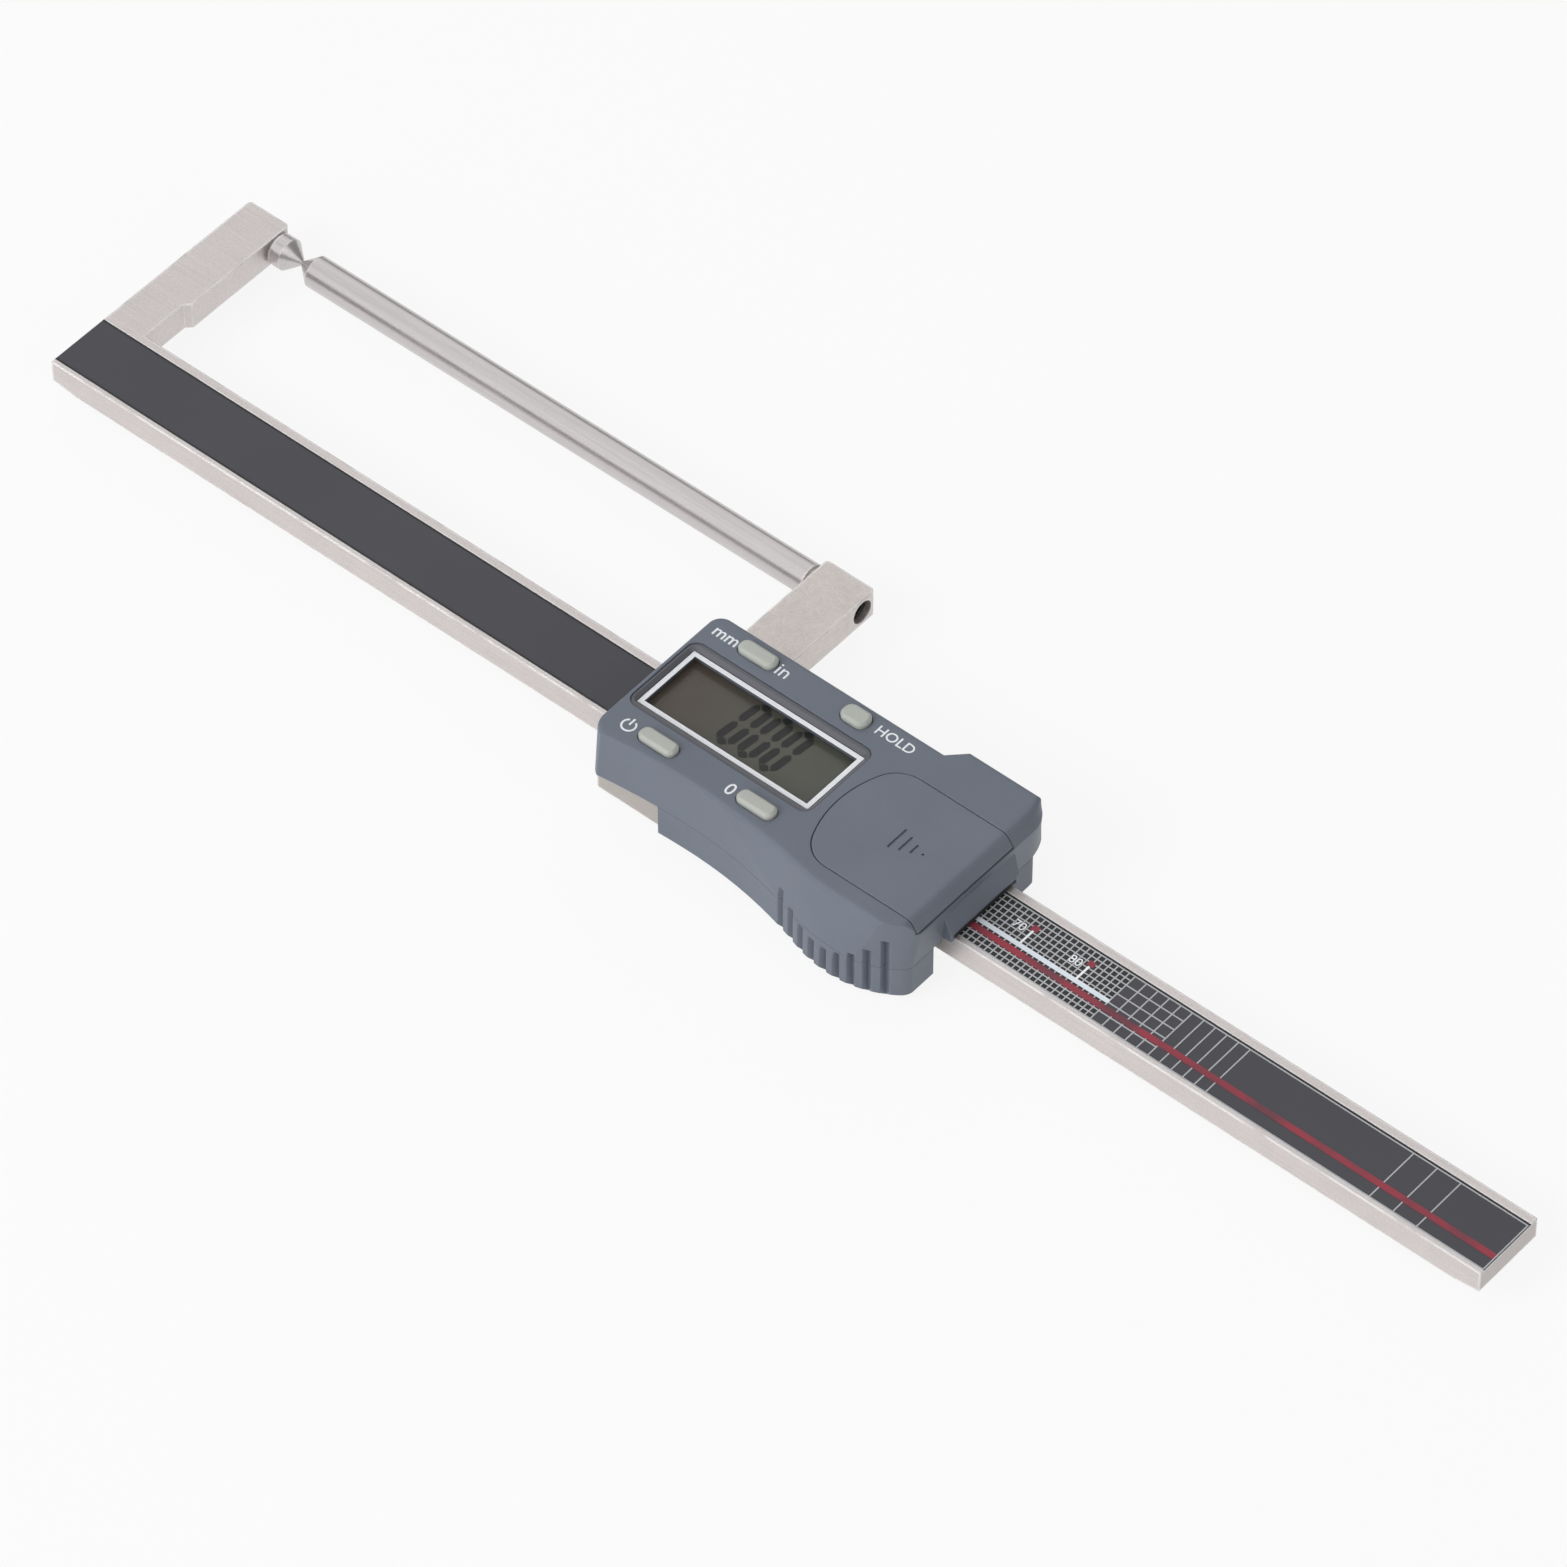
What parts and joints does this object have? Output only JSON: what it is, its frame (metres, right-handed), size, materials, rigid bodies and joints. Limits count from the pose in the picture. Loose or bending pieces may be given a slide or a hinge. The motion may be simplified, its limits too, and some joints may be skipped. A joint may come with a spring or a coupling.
{
  "type": "digital brake rotor gauge",
  "caption": "Digital gauge for brake rotors: a flat graduated beam with a fixed jaw, and a sliding display housing that carries a long pointed measuring rod.",
  "frame": {"origin": "middle of the slider's flat back, on the beam's centreline, gauge closed", "axes": "+X along the beam, away from the fixed jaw; +Y towards the jaws' ends; +Z out of the display"},
  "size_m": [0.2626, 0.0547, 0.0169],
  "materials": {
    "steel": "satin ground",
    "hard_steel": "fine ground",
    "screws": "plain",
    "spring_steel": "plain",
    "brass": "plain",
    "print": "printed",
    "board": "lacquered",
    "chip": "moulded",
    "lcd": "glossy",
    "window": "clear",
    "bezel": "glossy",
    "housing": "satin moulded",
    "battery_lid": "satin moulded",
    "button": "satin moulded",
    "cell": "bright",
    "rubber": "matt"
  },
  "bodies": {
    "beam": {"beam": "steel", "scale_circuit": "board", "scale_label": "print", "fixed_anvil": "hard_steel", "end_stop": "steel", "end_stop_screws": "screws"},
    "slider": {"slider_frame": "steel", "measuring_rod": "hard_steel", "rod_screw": "screws", "gib_strip": "brass", "gib_spring": "spring_steel", "guide_plate": "spring_steel", "guide_screws": "screws", "pickup_board": "board", "circuit_board": "board", "measuring_chip": "chip", "lcd_glass": "lcd", "lcd_connectors": "rubber", "display_window": "window", "display_bezel": "bezel", "snap_domes": "spring_steel", "top_cover": "housing", "grip_shell": "housing", "cover_screws": "screws", "battery_cell": "cell", "battery_spring": "spring_steel", "battery_side_contact": "spring_steel", "wiper_left": "rubber", "wiper_right": "rubber"},
    "battery_cover": {"battery_cover": "battery_lid"},
    "power_button_press": {"power_button": "button"},
    "zero_button_press": {"zero_button": "button"},
    "unit_button_press": {"unit_button": "button"},
    "hold_button_press": {"hold_button": "button"}
  },
  "joints": [
    {"name": "slider_slide", "type": "slide", "parent": "beam", "child": "slider", "axis": [1, 0, 0], "range_m": [0, 0.08]},
    {"name": "battery_cover_slide", "type": "slide", "parent": "slider", "child": "battery_cover", "axis": [1, 0, 0], "range_m": [0, 0.022]},
    {"name": "power_button_press", "type": "slide", "parent": "slider", "child": "power_button_press", "axis": [0, 0, -1], "range_m": [0, 0.0005], "stiffness_N_per_m": 2000, "springref_m": -0.0002},
    {"name": "zero_button_press", "type": "slide", "parent": "slider", "child": "zero_button_press", "axis": [0, 0, -1], "range_m": [0, 0.0005], "stiffness_N_per_m": 2000, "springref_m": -0.0002},
    {"name": "unit_button_press", "type": "slide", "parent": "slider", "child": "unit_button_press", "axis": [0, 0, -1], "range_m": [0, 0.0005], "stiffness_N_per_m": 2000, "springref_m": -0.0002},
    {"name": "hold_button_press", "type": "slide", "parent": "slider", "child": "hold_button_press", "axis": [0, 0, -1], "range_m": [0, 0.0005], "stiffness_N_per_m": 2000, "springref_m": -0.0002}
  ]
}
